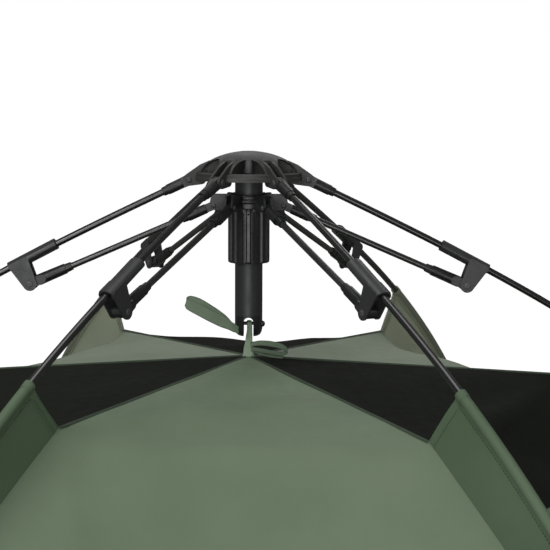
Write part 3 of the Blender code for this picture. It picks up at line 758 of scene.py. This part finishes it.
def make_legs():
    strut_seat = (STRUT_PIVOT_R, STRUT_PIVOT_HEIGHT)
    knee_seat = (POLE_PIVOT_R + KNEE[0], PIVOT_Z + KNEE[1])
    kit = [
        ("pole_rod", upper_pole(), ROD_LOOK, "pole_gloss_black", "pole", (), "upper_pole"),
        ("pole_end_fitting", pole_eye(), PLASTIC, "black_plastic", "pole", (), "pole_eye"),
        ("bracket_body", strut_bracket(), PLASTIC, "black_plastic", "pole", (), "strut_bracket"),
        ("bracket_rivets", ear_rivets(), RIVET_LOOK, "black_plastic", "pole", (), None),
        ("knee_fork", knee_clevis(), PLASTIC, "black_plastic", "pole", (), "knee_clevis"),
        ("knee_rivet", knee_pin(), RIVET_LOOK, "black_plastic", "pole", (), None),
        ("strut_bar", strut_rod(), ROD_LOOK, "strut_black", "strut", strut_seat, "strut"),
        ("strut_inner_end", strut_end(False), PLASTIC, "strut_black", "strut", strut_seat, None),
        ("strut_outer_end", strut_end(True), PLASTIC, "strut_black", "strut", strut_seat, None),
        ("leg_rod", leg_rod(), ROD_LOOK, "pole_gloss_black", "leg", knee_seat, "lower_leg"),
        ("leg_top_fitting", leg_eye(), PLASTIC, "pole_gloss_black", "leg", knee_seat, None),
        ("rubber_foot", foot(), RUBBER, "foot_rubber", "leg", knee_seat, "foot"),
    ]
    for name, part, look, slot, body, seat, node in kit:
        for leg in range(1, LEGS + 1):
            copy = new_object(f"{name}_{leg}", part.data.copy())
            copy.data.transform(leg_place(leg, *seat))
            nodes = (f"{node}_{leg}",) if node else ()
            dressed(copy, f"{name}_{leg}", f"{body}_{leg}", look, slot, *nodes)
        removed(part)


# ---------------------------------------------------------------- roof cloth

INNER_ROWS = 24
UPPER_ROWS = 10
LOWER_ROWS = 26
ACROSS = 48
CORNER_ROW = INNER_ROWS
SEAM_ROW = INNER_ROWS + UPPER_ROWS
HEM_ROW = INNER_ROWS + UPPER_ROWS + LOWER_ROWS
SECTOR_EDGE = 0.0004
SAG = 0.036
HEM_ARCH = 0.012
HEM_PULL = 0.7
HEM_LIFT = 0.0009
SETTLING_ROUNDS = 260

# Where each ridge's upper corner is: its length along the pole, its drop below it, the sleeve's start
# and how much further the ridge hangs down between corner and hem. The cloth isn't pulled quite
# evenly, so four of them differ.
CORNERS = {leg: (CORNER_AT, RIDGE_DROP, SLEEVE_FROM, 0.0) for leg in range(1, LEGS + 1)}
CORNERS[2] = CORNERS[3] = (CORNER_AT, RIDGE_DROP, SLEEVE_FROM, 0.045)
CORNERS[5] = (0.452, 0.0795, 0.463, 0.0)
CORNERS[6] = (0.463, 0.0905, 0.476, 0.0)


def sleeve_drop(s, leg):
    """How far the ridge lies below the pole, for a length s along the pole."""
    corner_at, drop, _, hang = CORNERS[leg]
    share = max(0.0, (s - corner_at) / (HEM_AT - corner_at))
    return drop + (RIDGE_DROP_AT_HEM - drop) * share * share + hang * sin(pi * share)


def ridge_point(s, leg):
    """The ridge under a pole, as (radius, z from the pivots)."""
    x, z = beside_pole(s, -sleeve_drop(s, leg))
    return POLE_PIVOT_R + x, z


def ridge_rows(leg):
    corner_at = CORNERS[leg][0]
    corner = ridge_point(corner_at, leg)
    rows = [(PEAK_R + (corner[0] - PEAK_R) * i / INNER_ROWS, PEAK_Z + (corner[1] - PEAK_Z) * i / INNER_ROWS)
            for i in range(INNER_ROWS)]
    rows += [ridge_point(corner_at + (SEAM_AT - corner_at) * i / UPPER_ROWS, leg) for i in range(UPPER_ROWS)]
    rows += [ridge_point(SEAM_AT + (HEM_AT - SEAM_AT) * i / LOWER_ROWS, leg) for i in range(LOWER_ROWS + 1)]
    return np.array(rows)


RIDGES = {leg: ridge_rows(leg) for leg in range(1, LEGS + 1)}


def next_leg(leg):
    return leg % LEGS + 1


def relaxed(points):
    """Lets the cloth between the ridges settle: each point's height nears the mean of its neighbours'."""
    z = points[:, :, 2]
    across = np.linalg.norm(points[:, 1, :2] - points[:, 0, :2], axis=1)[:, None]
    along = np.linalg.norm(np.diff(points[:, 0], axis=0), axis=1).mean()
    wide, tall = 1 / across ** 2, 1 / along ** 2
    for _ in range(SETTLING_ROUNDS):
        pulls = wide[1:-1] * (z[1:-1, 2:] + z[1:-1, :-2]) + tall * (z[2:, 1:-1] + z[:-2, 1:-1])
        z[1:-1, 1:-1] = pulls / (2 * wide[1:-1] + 2 * tall)
        z[-1, 1:-1] += 0.5 * (2 * z[-2, 1:-1] - z[-3, 1:-1] - z[-1, 1:-1])
        share = np.linspace(0, 1, z.shape[1])[1:-1]
        chord = z[-1, 0] + (z[-1, -1] - z[-1, 0]) * share
        z[-1, 1:-1] = (1 - HEM_PULL) * z[-1, 1:-1] + HEM_PULL * (chord + HEM_ARCH * np.sin(pi * share))
    below = np.clip((np.arange(len(z)) - CORNER_ROW) / (HEM_ROW - CORNER_ROW), 0, 1)[:, None] ** 0.7
    z -= SAG * np.sin(pi * below) * np.sin(pi * np.linspace(0, 1, z.shape[1]))[None, :]
    return points


def creases(points, number):
    """Soft folds: they run out from the two upper corners, with faint straight ripples across the sector, and
    fade at the ridges and towards the peak.
    """
    dice = np.random.default_rng(40 + number)
    share = np.linspace(0, 1, points.shape[1])[None, :]
    height = np.zeros(points.shape[:2])
    flat = points[:, :, :2]
    for column in (0, -1):
        corner = flat[CORNER_ROW, column]
        away = flat - corner
        distance = np.linalg.norm(away, axis=2)
        angle = np.arctan2(away[:, :, 1], away[:, :, 0])
        reach = np.exp(-distance / 0.23) * (1 - np.exp(-(distance / 0.05) ** 2))
        for folds in (7, 11, 17):
            height += 0.010 / folds * reach * np.sin(folds * angle + dice.uniform(0, 2 * pi))
    middle = flat.mean(axis=(0, 1))
    for _ in range(9):
        turn = dice.uniform(0, pi)
        wave = dice.uniform(0.10, 0.32)
        along = (flat - middle) @ np.array([cos(turn), sin(turn)])
        height += 0.0011 * np.sin(2 * pi * along / wave + dice.uniform(0, 2 * pi))
    from_peak = np.linspace(0, 1, points.shape[0])[:, None]
    return height * np.minimum(1, np.sin(pi * share) * 1.8) * np.minimum(1, from_peak * 9)


def normals_of(points):
    along = np.gradient(points, axis=0)
    across = np.gradient(points, axis=1)
    found = np.cross(along, across)
    found /= np.maximum(np.linalg.norm(found, axis=2, keepdims=True), 1e-12)
    return found * np.sign(found[:, :, 2:3].mean() + 1e-9)


def sector_sheet(number):
    """The points and normals of a whole sector, as a grid from the peak to the hem."""
    edges = []
    for leg, turn, aside in ((number, heading(number), SECTOR_EDGE),
                             (next_leg(number), heading(number + 1), -SECTOR_EDGE)):
        radius, z = RIDGES[leg].T[:, :, None]
        edges.append(np.concatenate([radius * cos(turn) - aside * sin(turn),
                                     radius * sin(turn) + aside * cos(turn), z], 1)[:, None])
    share = np.linspace(0, 1, ACROSS + 1)[None, :, None]
    points = relaxed(edges[0] * (1 - share) + edges[1] * share)
    points += normals_of(points) * creases(points, number)[:, :, None]
    points[:, :, 2] += PIVOT_Z
    return points, normals_of(points)


def grid_mesh(name, spots):
    spots = np.asarray(spots, float)
    tall, wide = spots.shape[:2]
    faces = [(i * wide + j, (i + 1) * wide + j, (i + 1) * wide + j + 1, i * wide + j + 1)
             for i in range(tall - 1) for j in range(wide - 1)]
    mesh = bpy.data.meshes.new(name)
    mesh.from_pydata(spots.reshape(-1, 3).tolist(), [], faces)
    mesh.shade_smooth()
    return new_object(name, mesh)


def patch(name, sheet, rows, columns, lift=0.0):
    """Part of a sheet as its own mesh, shaded as the whole sheet is."""
    points, normals = sheet
    part = slice(rows[0], rows[1] + 1), slice(columns[0], columns[1] + 1)
    spots, facing = points[part] + normals[part] * lift, normals[part]
    made = grid_mesh(name, spots)
    if made.data.polygons[0].normal.dot(Vector(facing[0, 0])) < 0:
        made.data.flip_normals()
    made.data.normals_split_custom_set_from_vertices(facing.reshape(-1, 3).tolist())
    return made


LEAST_SIDE = 0.011
LEAST_SHARE, SAFE_SHARE = 0.31, 0.33
GROWTH = 1.001


def declare_sheet(obj, width, length):
    """Works out a cloth piece's cut size from its width, length and area, and keeps none of it."""
    area = sum(face.area for face in obj.data.polygons)
    width, length = max(width, LEAST_SIDE), max(length, LEAST_SIDE)
    if area > width * length:
        grow = (area / (width * length)) ** 0.5 * GROWTH
        width, length = width * grow, length * grow
    if area < LEAST_SHARE * width * length:
        width = area / (SAFE_SHARE * length)


def span(points):
    return float(np.linalg.norm(np.diff(points, axis=0), axis=1).sum())


# WEDGE_EDGES are the columns where the roof's top is split into wedges. For a pole all the way down,
# side_keep works out how far each side piece would have to narrow towards its leg, leaving folded
# halves of a sector a little apart, a bit more in sector 4, beside the higher corner at leg 5.
WEDGE_EDGES = (0, 5, 14, 24, 34, 43, 48)
FOLD_LIMIT = radians(JOINTS["pole_fold_1"]["range_deg"][1])
FOLD_CLEAR = {sector: 0.0003 for sector in range(1, LEGS + 1)}
FOLD_CLEAR[4] = 0.0006


def folded(point, leg, keep):
    """Where a point of a side piece is when its leg's pole is all the way down."""
    turn = Matrix.Rotation(heading(leg), 3, "Z")
    local = turn.inverted() @ Vector(point)
    out, up = local.x - POLE_PIVOT_R, local.z - PIVOT_Z
    local = Vector((POLE_PIVOT_R + out * cos(FOLD_LIMIT) + up * sin(FOLD_LIMIT), local.y * keep,
                    PIVOT_Z + up * cos(FOLD_LIMIT) - out * sin(FOLD_LIMIT)))
    return turn @ local


def side_keep(points, number):
    """How narrow a sector's sides get, so that each stays in its own leg's sixth of the folded roof."""
    half = ACROSS // 2
    shares = []
    for leg, columns in ((number, slice(0, half + 1)), (next_leg(number), slice(half, None))):
        back = Matrix.Rotation(-heading(leg), 3, "Z")
        for point in points[CORNER_ROW:, columns].reshape(-1, 3):
            local = back @ folded(point, leg, 1.0)
            room = local.x * tan(pi / LEGS) - FOLD_CLEAR[number]
            shares.append(room / max(abs(local.y), CLEAR))
    return round(min(shares), 3)


def hang_from_peak(obj, edge):
    """Gives a piece of the roof's top a mesh of its own and leaves its shape as it is."""
    edge = [Vector(spot) for spot in edge]
    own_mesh(obj)


def gather_to_leg(obj):
    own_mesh(obj)


def make_sector(number):
    sheet = sector_sheet(number)
    points = sheet[0]
    keep = side_keep(points, number)

    def declare(piece, rows, columns, length_at):
        declare_sheet(piece, span(points[rows[1], columns[0]:columns[1] + 1]),
                      span(points[rows[0]:rows[1] + 1, length_at]))

    vented = number % 2 == 0
    back = number in (1, 2, 3)
    # The back sectors take the paler copy of the green cloth, with painted light.
    plain = BACKLIT_GREEN if back else GREEN
    top_look, top_slot = (DARK, "dark_mesh") if vented else (plain, "green_cloth")
    top_node = f"vent_panel_{number}" if vented else f"roof_panel_{number}"
    for wedge, columns in enumerate(zip(WEDGE_EDGES, WEDGE_EDGES[1:])):
        name = f"roof_{number}_top_{wedge + 1}"
        piece = patch(name, sheet, (0, CORNER_ROW), columns)
        nodes = (top_node,) if wedge == 0 else ()
        dressed(piece, name, "hub", top_look, top_slot, *nodes)
        edge = points[CORNER_ROW, columns[0]:columns[1] + 1]
        if wedge in (0, len(WEDGE_EDGES) - 2):
            edge = edge[:1] if wedge == 0 else edge[-1:]
        hang_from_peak(piece, edge)
        declare(piece, (0, CORNER_ROW), columns, 0)
    half = ACROSS // 2
    for side, leg, columns in (("a", number, (0, half)), ("b", next_leg(number), (half, ACROSS))):
        strips = [("side", (CORNER_ROW, HEM_ROW), plain, "green_cloth", 0.0)]
        if vented:
            strips = [("side", (CORNER_ROW, SEAM_ROW), top_look, top_slot, 0.0),
                      ("skirt", (SEAM_ROW, HEM_ROW), plain, "green_cloth", 0.0)]
        strips.append(("hem", (HEM_ROW - 2, HEM_ROW), plain, "green_cloth", HEM_LIFT))
        for word, rows, look, slot, lift in strips:
            name = f"roof_{number}_{word}_{side}"
            piece = patch(name, sheet, rows, columns, lift)
            nodes = (f"roof_panel_{number}",) if word == "skirt" and side == "a" else ()
            dressed(piece, name, f"pole_{leg}", look, slot, *nodes)
            gather_to_leg(piece)
            declare(piece, rows, columns, columns[0])


# ---------------------------------------------------------------- sleeves and seams

SLEEVE_R = 0.0066
WEB_HALF = 0.0011
WEB_TOP = -0.0135
BILLOW = 0.0016
HEM_BAND = 0.0110
SLANT_LENGTH = 0.200


def sleeve_point(s, offset, leg):
    """A point of a sleeve in its leg's plane. The near end slants down to the ridge's corner."""
    corner_at, _, start, _ = CORNERS[leg]
    slant = (start - corner_at) * max(0.0, 1 - (s - start) / SLANT_LENGTH)
    depth = min(1.0, max(0.0, -offset / sleeve_drop(s, leg)))
    x, z = beside_pole(s - slant * depth, offset)
    return POLE_PIVOT_R + x, z


def sleeve_section(s, drop, leg, lift=0.0):
    """Across a sleeve: up one side of the web, round the pole and down the other side."""
    web = np.linspace(-drop, WEB_TOP, 12)
    round_pole = np.radians(np.linspace(-112, -428, 25))
    left = [(-WEB_HALF - lift, off) for off in web]
    circle = [((SLEEVE_R + lift) * cos(t), (SLEEVE_R + lift) * sin(t)) for t in round_pole]
    right = [(WEB_HALF + lift, off) for off in web[::-1]]
    billow = BILLOW * sin(9.0 * s)
    made = []
    for y, off in left + circle + right:
        x, z = sleeve_point(s, off, leg)
        depth = min(1.0, max(0.0, -off / drop))
        made.append((x, y + billow * sin(pi * depth), z))
    return made


def place_for(obj, leg):
    obj.data.transform(leg_place(leg, 0.0))
    return obj


def stitches(name, line, facing, length=0.0030, gap=0.0016, half=0.00035, lift=0.0004):
    """A row of short raised stitches along a line of points."""
    line = np.array(line)
    out = Vector(facing).normalized()
    reached = np.concatenate([[0.0], np.cumsum(np.linalg.norm(np.diff(line, axis=0), axis=1))])

    def at(distance):
        return Vector([float(np.interp(distance, reached, line[:, axis])) for axis in range(3)])

    marks = [(at(near), at(near + length)) for near in np.arange(gap, reached[-1] - length, length + gap)]
    bm = bmesh.new()
    for a, b in marks:
        side = (b - a).cross(out).normalized() * half
        middle = (a + b) / 2 + out * (2 * lift)
        corners = [bm.verts.new(p) for p in (a - side, a + side, b + side, b - side)]
        top = [bm.verts.new(middle - side * 0.6), bm.verts.new(middle + side * 0.6)]
        bm.faces.new((corners[0], corners[1], top[1], top[0]))
        bm.faces.new((top[0], top[1], corners[2], corners[3]))
        bm.faces.new((corners[1], corners[2], top[1]))
        bm.faces.new((corners[3], corners[0], top[0]))
        bm.faces.new((corners[3], corners[2], corners[1], corners[0]))
    return new_object(name, mesh_from(bm, name))


def sleeve_stitches(leg):
    """The stitching of a sleeve: two rows across its near end and one along each side."""
    _, drop, start, _ = CORNERS[leg]
    rows = []
    for side in (-1, 1):
        for s in (start + 0.0018, start + 0.0088):
            line = [in_plane(sleeve_point(s, off, leg), side * (WEB_HALF + 0.0008))
                    for off in np.linspace(-drop + 0.002, -0.014, 30)]
            rows.append(stitches("stitches", line, (0, side, 0)))
        seam = [in_plane(sleeve_point(s, -0.0128, leg), side * 0.0022)
                for s in np.linspace(start + 0.012, HEM_AT - 0.004, 160)]
        rows.append(stitches("stitches", seam, (0, side, 0)))
    return joined("thread", rows)


def make_sleeves():
    steps, band = 64, 6
    girth = 2 * RIDGE_DROP + 0.03
    for leg in range(1, LEGS + 1):
        body_name, start = f"pole_{leg}", CORNERS[leg][2]
        # The back sleeves take a paler copy of the green cloth with painted light, the others a darker copy
        # with painted shade.
        look = SUNLIT_GREEN if leg in (2, 3) else SHADED_SLEEVE_GREEN
        lengths = [start + (HEM_AT - start) * i / steps for i in range(steps + 1)]
        piece = grid_mesh("sleeve", [sleeve_section(s, sleeve_drop(s, leg) - 0.0004, leg) for s in lengths])
        dressed(place_for(piece, leg), f"pole_sleeve_{leg}", body_name, look, "green_cloth")
        declare_sheet(piece, girth, HEM_AT - start)
        lengths = [start + HEM_BAND * i / band for i in range(band + 1)]
        piece = grid_mesh("hem", [sleeve_section(s, sleeve_drop(s, leg) - 0.001, leg, 0.0007)
                                  for s in lengths])
        dressed(place_for(piece, leg), f"sleeve_hem_{leg}", body_name, look, "green_cloth")
        declare_sheet(piece, girth, HEM_BAND)
        dressed(place_for(sleeve_stitches(leg), leg), f"sleeve_stitches_{leg}", body_name, THREAD,
                "green_cloth")


def make_ridge_tapes():
    """The felled seam that runs from the peak to each upper corner."""
    half, rise, thin = 0.0040, 0.0013, 0.0004
    droop = 0.25 * half
    section = ((-half, thin - droop), (-half * 0.8, rise - droop), (0, rise + thin),
               (half * 0.8, rise - droop), (half, thin - droop))
    for leg in range(1, LEGS + 1):
        ridge = RIDGES[leg][:CORNER_ROW + 1]
        rows = [[(radius, y, z + lift) for y, lift in section] for radius, z in ridge]
        piece = place_for(grid_mesh("tape", rows), leg)
        dressed(piece, f"ridge_seam_{leg}", "hub", THREAD, "green_cloth")
        turn = heading(leg)
        radius, z = ridge[-1]
        hang_from_peak(piece, [(radius * cos(turn), radius * sin(turn), z + PIVOT_Z)])
        declare_sheet(piece, 2 * half, span(ridge))


# ---------------------------------------------------------------- ties

def tape(name, line, widths, sides, thickness=0.0009, curl=0.0):
    """A flat tape along smooth points, with a width and a width direction at each."""
    line = [Vector(p) for p in line]
    per_span = 8
    rows = []
    for i in range((len(line) - 1) * per_span + 1):
        t = i / per_span
        k = min(int(t), len(line) - 2)
        u = t - k
        a, b = line[k], line[k + 1]
        before, after = line[max(k - 1, 0)], line[min(k + 2, len(line) - 1)]
        point = 0.5 * ((2 * a) + (b - before) * u + (2 * before - 5 * a + 4 * b - after) * u * u
                       + (3 * a - before - 3 * b + after) * u ** 3)
        ease = u * u * (3 - 2 * u)
        width = widths[k] * (1 - ease) + widths[k + 1] * ease
        side = Vector(sides[k]).lerp(Vector(sides[k + 1]), ease).normalized()
        out = side.cross(b - a).normalized()
        rows.append([point + side * width * q + out * curl * (4 * q * q - 0.5) for q in
                     (-0.5, -0.3, -0.1, 0.1, 0.3, 0.5)])
    made = grid_mesh(name, rows)
    made.data.transform(Matrix.Translation((0, 0, PIVOT_Z)))
    thick = made.modifiers.new("thick", "SOLIDIFY")
    thick.thickness = thickness
    thick.offset = 0.0
    return made


def make_ties():
    """A short tie from the fork to the peak, a long folded loop to the left and a bow to the right."""
    short = tape("short_tie_tape",
                 [(0.001, 0.0030, -0.2050), (0.001, -0.0034, -0.2075), (0.0015, -0.0034, -0.2160),
                  (0.0005, -0.0025, -0.2330), (0.000, -0.0015, -0.2470), (0.000, -0.0040, -0.2575)],
                 (0.007, 0.007, 0.0075, 0.010, 0.0145, 0.017), [(1, 0, 0)] * 6, curl=0.0008)
    dressed(short, "short_tie_tape", "hub", PALE_WEBBING, "green_webbing", "short_tie")
    front, behind = (0.46, 0.10, 0.888), (0.40, 0.45, 0.80)
    loop = tape("long_tie_loop",
                [(-0.0130, -0.0130, -0.2185), (-0.0240, -0.0150, -0.2115), (-0.0400, -0.0140, -0.2040),
                 (-0.0560, -0.0150, -0.1955), (-0.0720, -0.0130, -0.1875), (-0.0845, -0.0115, -0.1815),
                 (-0.0905, -0.0085, -0.1765), (-0.0855, -0.0045, -0.1735), (-0.0720, -0.0045, -0.1785),
                 (-0.0550, -0.0055, -0.1885), (-0.0380, -0.0075, -0.1990), (-0.0240, -0.0100, -0.2105)],
                (0.008, 0.012, 0.015, 0.016, 0.0155, 0.014, 0.012, 0.0125, 0.014, 0.014, 0.012, 0.008),
                [front] * 6 + [(0.20, 0.10, 0.97)] + [behind] * 5, curl=0.0012)
    dressed(loop, "long_tie_loop", "hub", WEBBING, "green_webbing", "long_tie")
    bow = tape("tie_bow_loops",
               [(0.003, -0.012, -0.2380), (0.016, -0.016, -0.2350), (0.034, -0.018, -0.2360),
                (0.050, -0.016, -0.2410), (0.0565, -0.014, -0.2475), (0.046, -0.013, -0.2510),
                (0.026, -0.013, -0.2475), (0.004, -0.012, -0.2440), (0.018, -0.010, -0.2505),
                (0.036, -0.010, -0.2545), (0.050, -0.010, -0.2560)],
               (0.006, 0.0075, 0.0085, 0.0080, 0.0070, 0.0060, 0.0060, 0.006, 0.0060, 0.0065, 0.0060),
               [(0, 0.45, 0.9)] * 11, curl=0.0005)
    dressed(bow, "tie_bow_loops", "hub", WEBBING, "green_webbing", "tie_bow")


# ---------------------------------------------------------------- studio

LENS_MM, SENSOR_MM = 96.676, 36.0
CAMERA_BACK, CAMERA_SIDE, CAMERA_UP = 2.123, 0.0347, 0.124
CAMERA_TILT, CAMERA_TURN, CAMERA_ROLL = 7.03, 0.09, 0.25
AMBIENT = 0.14
FLOOR_GLOW = 0.92
KEY_WATTS, FRONT_WATTS, FILL_WATTS, BACK_WATTS, TOP_WATTS = 60.0, 42.0, 8.0, 24.0, 36.0


def make_camera():
    data = bpy.data.cameras.new("camera")
    data.sensor_width = SENSOR_MM
    data.lens = LENS_MM
    data.clip_end = 100.0
    camera = new_object("camera", data)
    aim = (Matrix.Rotation(radians(-CAMERA_TURN), 4, "Z") @ Matrix.Rotation(radians(90 - CAMERA_TILT), 4, "X")
           @ Matrix.Rotation(radians(CAMERA_ROLL), 4, "Z"))
    camera.matrix_world = Matrix.Translation((CAMERA_SIDE, -CAMERA_BACK, PIVOT_Z + CAMERA_UP)) @ aim
    bpy.context.scene.camera = camera


def lamp(name, place, size, power, target=(0, 0, 1.4)):
    data = bpy.data.lights.new(name, "AREA")
    data.shape = "RECTANGLE"
    data.size, data.size_y = size
    data.energy = power
    facing = (Vector(target) - Vector(place)).to_track_quat("-Z", "Y").to_matrix().to_4x4()
    new_object(name, data).matrix_world = Matrix.Translation(place) @ facing


def make_world():
    """White behind the object, and a dimmer even light on it."""
    world = bpy.data.worlds.new("studio")
    world.use_nodes = True
    nodes, links = world.node_tree.nodes, world.node_tree.links
    sky = nodes["Background"]
    settle(sky, {"Color": (1.0, 1.0, 1.0, 1.0)})
    seen = nodes.new("ShaderNodeLightPath").outputs["Is Camera Ray"]
    links.new(ramp(nodes, links, seen, AMBIENT, 1.0, 0.0, 1.0), sky.inputs["Strength"])
    bpy.context.scene.world = world


def make_studio():
    bm = bmesh.new()
    bmesh.ops.create_grid(bm, x_segments=2, y_segments=2, size=30.0)
    floor = new_object("floor", mesh_from(bm, "floor"))
    pale, nodes, links, shader, place = new_material("pale_floor", (0.86, 0.86, 0.85), 0.7)
    links.new(ramp(nodes, links, noise(nodes, links, place, 2.0), 0.65, 0.75), shader.inputs["Roughness"])
    settle(shader, {"Emission Color": (1.0, 1.0, 1.0, 1.0), "Emission Strength": FLOOR_GLOW})
    floor.data.materials.append(pale)
    floor.visible_diffuse = floor.visible_glossy = False
    make_world()
    bpy.context.scene.view_settings.view_transform = "Standard"
    lamp("key", (-2.4, -3.0, 3.6), (1.8, 1.4), KEY_WATTS)
    lamp("front", (-0.30, -3.5, 1.35), (2.3, 1.9), FRONT_WATTS)
    lamp("fill", (3.4, -2.0, 2.6), (1.6, 1.6), FILL_WATTS)
    lamp("top", (-0.3, -0.6, 4.4), (2.4, 2.0), TOP_WATTS)
    lamp("back", (0.3, 3.4, 3.8), (3.0, 1.4), BACK_WATTS)


make_camera()
make_hub()
make_legs()
for sector in range(1, LEGS + 1):
    make_sector(sector)
make_sleeves()
make_ridge_tapes()
make_ties()
make_studio()
